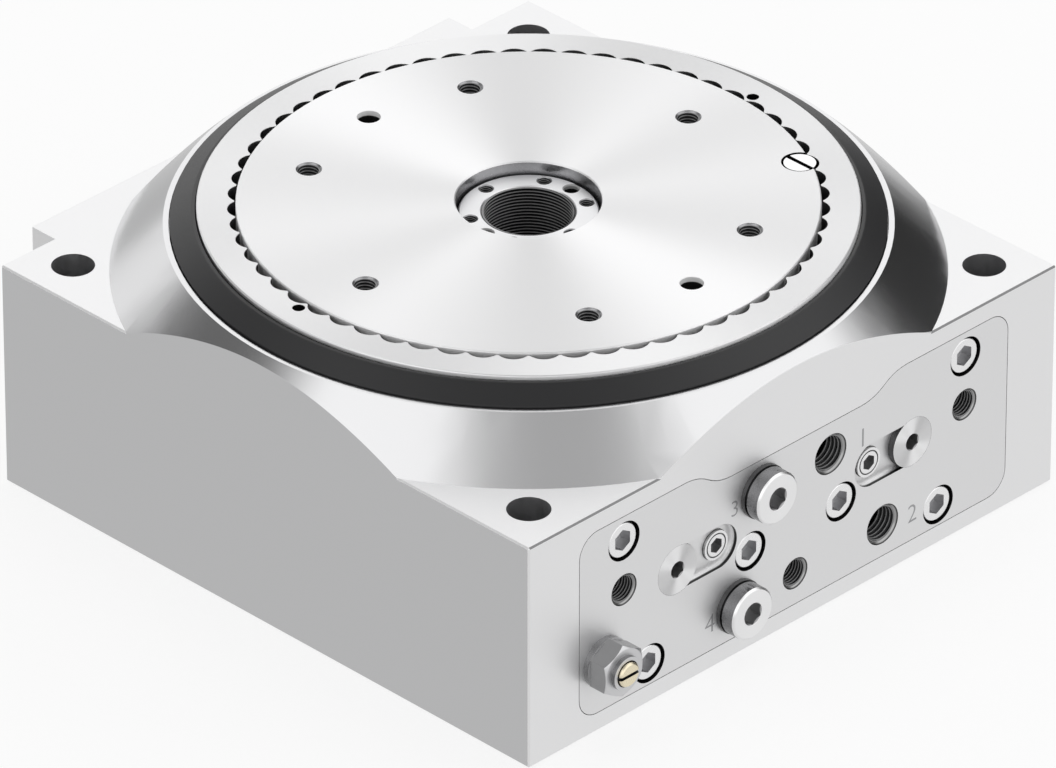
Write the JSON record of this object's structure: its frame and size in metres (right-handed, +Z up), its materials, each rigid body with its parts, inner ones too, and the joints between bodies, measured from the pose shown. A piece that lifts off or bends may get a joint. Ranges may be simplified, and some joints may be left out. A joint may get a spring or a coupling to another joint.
{
  "type": "rotary indexing table",
  "caption": "Square-bodied pneumatic rotary indexing table with a flush turning plate, scalloped index ring, hollow fixed centre and ported front cover.",
  "frame": {"origin": "on the table's axis of rotation, in the plane of the housing's underside", "axes": "+Z up along the axis of rotation; -Y out of the port face with its cover; +X to the right of someone who faces the ports"},
  "size_m": [0.248, 0.2735, 0.1101],
  "materials": {
    "housing_aluminium": "fine blasted and clear anodised",
    "cover_aluminium": "fine blasted and clear anodised",
    "turned_aluminium": "turned, with fine circular marks",
    "ring_aluminium": "turned, with fine circular marks",
    "black_anodised": "black anodised satin",
    "column_steel": "turned",
    "seal_rubber": "matt",
    "guide_plastic": "matt",
    "bearing_steel": "ground",
    "cage_brass": "satin",
    "bush_bronze": "turned",
    "throttle_brass": "turned",
    "piston_aluminium": "hard anodised",
    "gear_steel": "hardened and ground",
    "spun_steel": "faced, with a conical sheen",
    "plug_steel": "nickel plated",
    "screw_steel": "zinc plated"
  },
  "bodies": {
    "base": {"housing": "housing_aluminium", "base_cover": "housing_aluminium", "base_cover_screws": "screw_steel", "centre_column": "column_steel", "column_screws": "screw_steel", "bearing_outer_race": "bearing_steel", "outer_race_clamp": "bearing_steel", "outer_clamp_screws": "screw_steel", "cover_ring": "black_anodised", "thrust_washer": "bush_bronze", "lock_bore_plug": "gear_steel", "front_cover": "cover_aluminium", "front_cover_screws": "screw_steel", "front_cover_seals": "seal_rubber", "adjuster_lock_screws": "screw_steel", "port_plug_upper": "plug_steel", "port_plug_lower": "plug_steel", "plug_washers": "plug_steel", "throttle_body": "plug_steel", "rear_end_block": "housing_aluminium", "rear_block_screws": "screw_steel", "rear_block_seals": "seal_rubber", "end_buffers": "seal_rubber"},
    "table": {"rotary_plate": "turned_aluminium", "index_ring": "ring_aluminium", "index_ring_pins": "screw_steel", "locking_key_screw": "screw_steel", "rotor_hub": "turned_aluminium", "hub_screws": "screw_steel", "centre_seal": "seal_rubber", "bearing_inner_race": "bearing_steel", "index_wheel": "gear_steel", "index_wheel_screws": "screw_steel"},
    "ball_cage": {"bearing_cage": "cage_brass", "bearing_balls": "bearing_steel"},
    "gear": {"drive_gear": "gear_steel", "gear_bush": "bush_bronze", "bolt_carrier": "gear_steel", "carrier_screws": "screw_steel", "bolt_keeper": "gear_steel", "keeper_screws": "screw_steel"},
    "drive_bolt": {"drive_bolt": "gear_steel"},
    "lock_bolt": {"lock_bolt": "gear_steel"},
    "left_piston": {"rack_piston_left": "piston_aluminium", "piston_seals_left": "seal_rubber", "guide_bands_left": "guide_plastic"},
    "right_piston": {"rack_piston_right": "piston_aluminium", "piston_seals_right": "seal_rubber", "guide_bands_right": "guide_plastic"},
    "left_adjuster": {"cushion_adjuster_left": "spun_steel"},
    "right_adjuster": {"cushion_adjuster_right": "spun_steel"},
    "throttle_screw": {"throttle_screw": "throttle_brass"}
  },
  "joints": [
    {"name": "table_spin", "type": "hinge", "parent": "base", "child": "table", "pos_m": [0, 0, 0], "axis": [0, 0, 1], "continuous": true},
    {"name": "ball_cage_spin", "type": "hinge", "parent": "base", "child": "ball_cage", "pos_m": [0, 0, 0], "axis": [0, 0, 1], "continuous": true},
    {"name": "gear_swing", "type": "hinge", "parent": "base", "child": "gear", "pos_m": [0, 0, 0], "axis": [0, 0, 1], "range_deg": [0, 60]},
    {"name": "left_piston_slide", "type": "slide", "parent": "base", "child": "left_piston", "axis": [0, -1, 0], "range_m": [0, 0.04398]},
    {"name": "right_piston_slide", "type": "slide", "parent": "base", "child": "right_piston", "axis": [0, 1, 0], "range_m": [0, 0.04398]},
    {"name": "drive_bolt_slide", "type": "slide", "parent": "gear", "child": "drive_bolt", "axis": [-0.5, -0.866, 0], "range_m": [0, 0.007]},
    {"name": "lock_bolt_slide", "type": "slide", "parent": "base", "child": "lock_bolt", "axis": [0, 0, 1], "range_m": [0, 0.0065]},
    {"name": "left_adjuster_turn", "type": "hinge", "parent": "base", "child": "left_adjuster", "pos_m": [-0.0554, -0.124, 0.0456], "axis": [0, -1, 0], "range_deg": [0, 360]},
    {"name": "right_adjuster_turn", "type": "hinge", "parent": "base", "child": "right_adjuster", "pos_m": [0.0554, -0.124, 0.0456], "axis": [0, -1, 0], "range_deg": [0, 360]},
    {"name": "throttle_turn", "type": "hinge", "parent": "base", "child": "throttle_screw", "pos_m": [-0.0898, -0.124, 0.0261], "axis": [0, -1, 0], "range_deg": [0, 720]}
  ],
  "couplings": [
    {"joint": "ball_cage_spin", "follows": "table_spin", "ratio": 0.47656},
    {"joint": "left_piston_slide", "follows": "gear_swing", "m_per_rad": 0.042},
    {"joint": "right_piston_slide", "follows": "gear_swing", "m_per_rad": 0.042}
  ]
}
